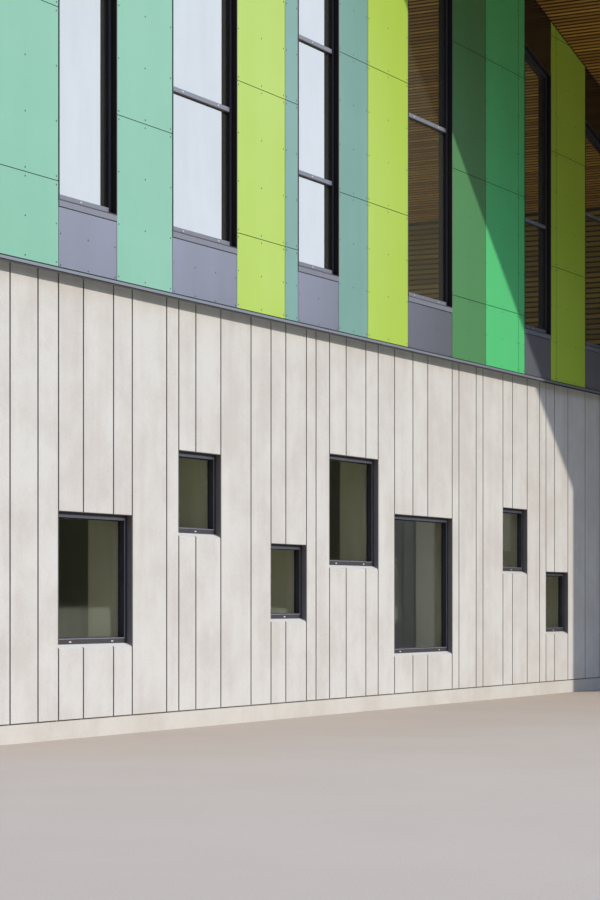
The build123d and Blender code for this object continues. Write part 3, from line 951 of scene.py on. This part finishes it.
def makeCanopySlats():
    low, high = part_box("canopy_soffit_boards")
    sheet = nodeShape("canopy_soffit_boards")
    planes = sidePlanes(sheet)
    thickness = slatSizes["lining"]
    fall = (high.z - thickness - low.z) / (high.x - low.x)
    slats = bmesh.new()
    sizes = (slatSizes["width"], high.y - low.y + spare, slatSizes["depth"])
    count = int((high.x - low.x) / slatPitch)
    for index in range(count + 1):
        x = (math.floor(low.x / slatPitch) + index + 0.5) * slatPitch
        centre = Vector((x, (low.y + high.y) / 2, slatSizes["depth"] / 2))
        addBlock(slats, Vector((0, -1, 0)), centre, sizes)
    lowerEdges = [
        edge for edge in slats.edges
        if all(vert.co.z < touching for vert in edge.verts) and edge.calc_length() > shortEdge
    ]
    bevelEdges(slats, lowerEdges, slatSizes["edge"])
    for vert in slats.verts:
        vert.co.z += high.z - thickness - fall * (vert.co.x - low.x)
    for point, normal in planes:
        trim(slats, point, normal)
    finishPiece(slats, "canopySlats", soffitTimber, ["canopy_soffit_boards"])

    # dark backing over the slats, made of the upper part of the plain sheet
    upwards = Vector((fall, 0, 1)).normalized()
    under = Vector((low.x, 0, high.z - slatSizes["backing"]))
    trim(sheet, under, -upwards)
    finishPiece(sheet, "canopyBacking", windBarrier)


makeCanopySlats()

# Timber slats of the court wall

wallSlatSizes = {"width": 0.066, "edge": 0.002, "least": 0.012}


def makeCourtSlats():
    points = islandsOf("timber_wall_boards")[0]
    out = outwardOf(points)[0]
    along, left, right, back, face, bottom = spanOf(points, out)[:6]
    middle = along * (left + right) / 2 + out * (back + face) / 2
    slats = bmesh.new()
    height = (math.floor(bottom / slatPitch) + 1.5) * slatPitch
    topLeft = topAt(points, along, left)
    width = wallSlatSizes["width"]
    while height - width / 2 + wallSlatSizes["least"] < topLeft:
        # the topmost slat is cut to the height that is left
        high = min(height + width / 2, topLeft - wallSlatSizes["edge"])
        low = height - width / 2
        centre = middle + Vector((0, 0, (low + high) / 2))
        addBlock(slats, out, centre, (right - left, face - back, high - low))
        height += slatPitch
    bevelEdges(slats, slats.edges[:], wallSlatSizes["edge"])
    finishPiece(slats, "courtWallSlats", wallTimber, ["timber_wall_boards"])


makeCourtSlats()

# Dark strip behind the lip of the drip, which hangs a little below it: painted shade, a dark sheet
# for the shaded gap under the drip

dripShadeSizes = {"behind": 0.009, "under": 0.009, "below": 0.022, "thickness": 0.006}


def makeDripShadeStrip():
    low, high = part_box("drip_strip")
    reach = high.x - wallLines["right"][1][1].x - dripShadeSizes["behind"]
    lines = []
    for out, (wallLow, wallHigh) in wallLines.values():
        axis = 0 if out.x else 1
        surface = wallHigh if out.x + out.y > 0 else wallLow
        lines.append((axis, (surface + out * reach)[axis]))
    strip = bmesh.new()
    bottom = low.z - dripShadeSizes["below"]
    corners = []
    for before, line in zip(lines[-1:] + lines[:-1], lines):
        place = dict([before, line])
        corners.append(strip.verts.new((place[0], place[1], bottom)))
    for first, second in zip(corners, corners[1:] + corners[:1]):
        strip.edges.new((first, second))
    raised = bmesh.ops.extrude_edge_only(strip, edges=strip.edges[:])["geom"]
    upper = [item for item in raised if isinstance(item, bmesh.types.BMVert)]
    bmesh.ops.translate(strip, verts=upper, vec=(0, 0, high.z - dripShadeSizes["under"] - bottom))
    bmesh.ops.recalc_face_normals(strip, faces=strip.faces)
    bmesh.ops.solidify(strip, geom=strip.faces[:], thickness=dripShadeSizes["thickness"])
    finishPiece(strip, "dripShadeStrip", gasket)


makeDripShadeStrip()

# Screws of the facade boards

screwSettings = {
    "radius": 0.0105,
    "taper": 0.7,
    "proud": 0.0025,
    "fromEdge": 0.035,
    "fromJoint": 0.040,
    "spacing": 0.585,
    "sides": 8,
    "gap": 0.08,
}
spandrelRows = (0.020, 0.345)


def evenPlaces(begin, finish, least):
    steps = max(least, math.ceil((finish - begin) / screwSettings["spacing"]))
    return [begin + (finish - begin) * step / steps for step in range(steps + 1)]


def addScrew(shape, out, place):
    turn = out.to_track_quat("Z", "Y").to_matrix().to_4x4()
    bmesh.ops.create_cone(
        shape,
        cap_ends=True,
        segments=screwSettings["sides"],
        radius1=screwSettings["radius"],
        radius2=screwSettings["radius"] * screwSettings["taper"],
        depth=screwSettings["proud"],
        matrix=Matrix.Translation(place + out * screwSettings["proud"] / 2) @ turn,
    )


def screwRows(nodeName, bottom, leastTop):
    joint = screwSettings["fromJoint"]
    if nodeName == "panels_grey":
        return [bottom + row for row in spandrelRows]
    return evenPlaces(bottom + joint, max(leastTop, bottom + 4 * joint) - joint, 2)


def makeScrews():
    screws = bmesh.new()
    for name in panelColours:
        for points in islandsOf("panels_" + name):
            out = outwardOf(points)[0]
            along, left, right, _, face, bottom, top = spanOf(points, out)
            edge, gap = screwSettings["fromEdge"], screwSettings["gap"]
            leastTop = min(topAt(points, along, left), topAt(points, along, right))
            if top - bottom < 2 * gap or right - left < 2 * gap:
                continue
            for place in evenPlaces(left + edge, right - edge, 1):
                lastHeight = bottom - gap
                for height in screwRows("panels_" + name, bottom, leastTop):
                    below = topAt(points, along, place) - screwSettings["fromJoint"] / 2
                    if height < below and height - lastHeight > gap:
                        addScrew(screws, out, along * place + out * face + Vector((0, 0, height)))
                        lastHeight = height
    finishPiece(screws, "boardScrews", screwMetal)


makeScrews()

# Trim of the square ground windows

groundTrim = {
    "revealSheet": 0.004,
    "gap": 0.001,
    "bead": 0.012,
    "beadDepth": 0.012,
    "edge": 0.008,
    "headHighlight": 0.026,
    "highlightProud": 0.0025,
    "headJoint": 0.016,
    "jointProud": 0.004,
    "capWidth": 0.038,
    "capHeight": 0.013,
    "capProud": 0.004,
    "capFromEdge": 0.31,
    "capRise": 0.42,
    "wideWindow": 1.2,
    "frameFace": 0.060,
    "frameDepth": 0.070,
    "innerBegins": 0.225,
    "innerBoard": 0.012,
}


def addRing(shape, out, along, span, face, headFace, front, depth):
    # four lengths that meet in a rectangle, front is how far out their outer face lies
    left, right, bottom, top = span
    middle = out * (front - depth / 2)
    for height, tall in ((bottom + face / 2, face), (top - headFace / 2, headFace)):
        centre = along * (left + right) / 2 + middle + Vector((0, 0, height))
        addBlock(shape, out, centre, (right - left, depth, tall))
    for place in (left + face / 2, right - face / 2):
        centre = along * place + middle + Vector((0, 0, (bottom + face + top - headFace) / 2))
        addBlock(shape, out, centre, (face, depth, top - bottom - face - headFace))


def makeGroundTrim():
    sheets = bmesh.new()
    beads = bmesh.new()
    edges = bmesh.new()
    caps = bmesh.new()
    boards = bmesh.new()
    wallThickness = (wallLines["front"][1][1] - wallLines["front"][1][0]).y
    sizes = groundTrim
    gap = sizes["gap"]
    inset = sizes["frameFace"]
    for points in islandsOf("ground_window_frames"):
        out, surface = outwardOf(points)
        along, left, right, _, front, bottom, top = spanOf(points, out)
        depth = surface.dot(out) - front
        wide = right - left
        # sheets on the two jambs and the head of the opening
        thick = sizes["revealSheet"]
        middle = out * (front + depth / 2)
        for place in (left + gap + thick / 2, right - gap - thick / 2):
            centre = along * place + middle + Vector((0, 0, (bottom + top) / 2))
            addBlock(sheets, out, centre, (thick, depth - 2 * gap, top - bottom - 2 * gap))
        centre = along * (left + right) / 2 + middle + Vector((0, 0, top - gap - thick / 2))
        addBlock(sheets, out, centre, (wide - 2 * gap - 2 * thick, depth - 2 * gap, thick))
        # boards on the inner reveal, from the lining to the room
        inside = surface.dot(out) - sizes["innerBegins"] - gap
        whole = (left + gap, right - gap, bottom + gap, top - gap)
        deep = wallThickness - sizes["innerBegins"] - 2 * gap
        addRing(boards, out, along, whole, sizes["innerBoard"], sizes["innerBoard"], inside, deep)
        # dark joint under the head, and the bead in front of the glass
        joint = sizes["headJoint"]
        centre = along * (left + right) / 2 + out * (front + sizes["jointProud"] / 2)
        centre += Vector((0, 0, top - thick - 2 * gap - joint / 2))
        addBlock(beads, out, centre, (wide - 4 * thick, sizes["jointProud"], joint))
        opening = (left + inset, right - inset, bottom + inset, top - inset)
        glassFace = front - sizes["frameDepth"]
        bead, beadDepth = sizes["bead"], sizes["beadDepth"]
        addRing(beads, out, along, opening, bead, bead, glassFace + beadDepth + gap, beadDepth)
        # light strips on the frame round the glass, broader at the head: painted highlights on the
        # frame's edges
        edge, headHighlight, highlightProud = sizes["edge"], sizes["headHighlight"], sizes["highlightProud"]
        span = (opening[0] - edge, opening[1] + edge, opening[2] - edge, opening[3] + headHighlight)
        addRing(edges, out, along, span, edge, headHighlight, front + highlightProud, highlightProud)
        # weep caps on the bottom rail
        places = ((left + right) / 2,)
        if wide > sizes["wideWindow"]:
            places = (left + sizes["capFromEdge"], right - sizes["capFromEdge"])
        capHeight = Vector((0, 0, bottom + inset * sizes["capRise"]))
        for place in places:
            centre = along * place + out * (front + sizes["capProud"] / 2) + capHeight
            addBlock(caps, out, centre, (sizes["capWidth"], sizes["capProud"], sizes["capHeight"]))
    finishPiece(sheets, "revealSheets", revealCoat)
    finishPiece(boards, "innerRevealBoards", paintedTimber)
    finishPiece(beads, "groundGlazingBeads", gasket)
    finishPiece(edges, "groundFrameHighlights", frameHighlightCoat)
    finishPiece(caps, "groundWeepCaps", weepCap)


makeGroundTrim()

# Trim of the tall windows

tallTrim = {
    "capWidth": 0.030,
    "capHeight": 0.012,
    "capProud": 0.004,
    "capRise": 0.6,
    "widePane": 1.15,
    "wideShares": (0.2, 0.8),
    "narrowShares": (0.45,),
    "casing": 0.014,
    "frameFace": 0.048,
    "frameBack": 0.070,
    "glassBack": 0.034,
    "railHeight": 0.066,
    "railProud": 0.004,
    "gasketHeight": 0.009,
    "gasketBack": 0.003,
    "gap": 0.001,
}


def addCaps(shape, out, along, left, right, front, height):
    # two caps on a wide pane and one on a narrow one
    sizes = tallTrim
    block = (sizes["capWidth"], sizes["capProud"], sizes["capHeight"])
    shares = sizes["wideShares" if right - left > sizes["widePane"] else "narrowShares"]
    for share in shares:
        centre = along * (left + (right - left) * share) + out * (front + sizes["capProud"] / 2)
        addBlock(shape, out, centre + Vector((0, 0, height)), block)


def makeTallTrim():
    rails = bmesh.new()
    gaskets = bmesh.new()
    caps = bmesh.new()
    sizes = tallTrim
    gap = sizes["gap"]
    for points in islandsOf("tall_window_frames"):
        out = outwardOf(points)[0]
        along, left, right, _, casingFront, bottom = spanOf(points, out)[:6]
        inset = sizes["casing"] + sizes["frameFace"]
        front = casingFront - sizes["frameBack"] + sizes["railProud"]
        depth = sizes["glassBack"] + sizes["railProud"] - gap
        low = bottom + sizes["casing"] + gap
        tall = sizes["railHeight"]
        centre = along * (left + right) / 2 + out * (front - depth / 2)
        centre += Vector((0, 0, low + tall / 2))
        addBlock(rails, out, centre, (right - left - 2 * inset - 2 * gap, depth, tall))
        capHeight = low + tall * sizes["capRise"]
        addCaps(caps, out, along, left + inset, right - inset, front, capHeight)
    for points in islandsOf("tall_window_transoms"):
        out = outwardOf(points)[0]
        along, left, right, back, front, bottom, top = spanOf(points, out)
        addCaps(caps, out, along, left, right, front, (bottom + top) / 2)
        depth = front - back - sizes["gasketBack"] - gap
        centre = along * (left + right) / 2 + out * (back + gap + depth / 2)
        centre += Vector((0, 0, bottom - sizes["gasketHeight"] / 2))
        addBlock(gaskets, out, centre, (right - left - 2 * gap, depth, sizes["gasketHeight"]))
    finishPiece(rails, "tallBottomRails", greyCoat)
    finishPiece(gaskets, "transomGaskets", gasket)
    finishPiece(caps, "tallWindowCaps", weepCap)


makeTallTrim()

# Seams of the roof felt

seamSettings = {"pitch": 1.0, "width": 0.08, "height": 0.004, "felt": 0.012}


def makeFeltSeams():
    low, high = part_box("roof_membrane")
    sheet = nodeShape("roof_membrane")
    planes = sidePlanes(sheet)
    sheet.free()
    fall = (high.z - seamSettings["felt"] - low.z) / (high.x - low.x)
    seams = bmesh.new()
    sizes = (seamSettings["width"], high.y - low.y + spare, seamSettings["height"])
    x = low.x + seamSettings["pitch"]
    while x < high.x - seamSettings["width"]:
        centre = Vector((x, (low.y + high.y) / 2, 0))
        addBlock(seams, Vector((0, -1, 0)), centre, sizes)
        x += seamSettings["pitch"]
    for vert in seams.verts:
        vert.co.z += high.z - fall * (vert.co.x - low.x) + seamSettings["height"] / 2
    for point, normal in planes:
        trim(seams, point, normal)
    finishPiece(seams, "roofFeltSeams", felt)


makeFeltSeams()

print("scene made")
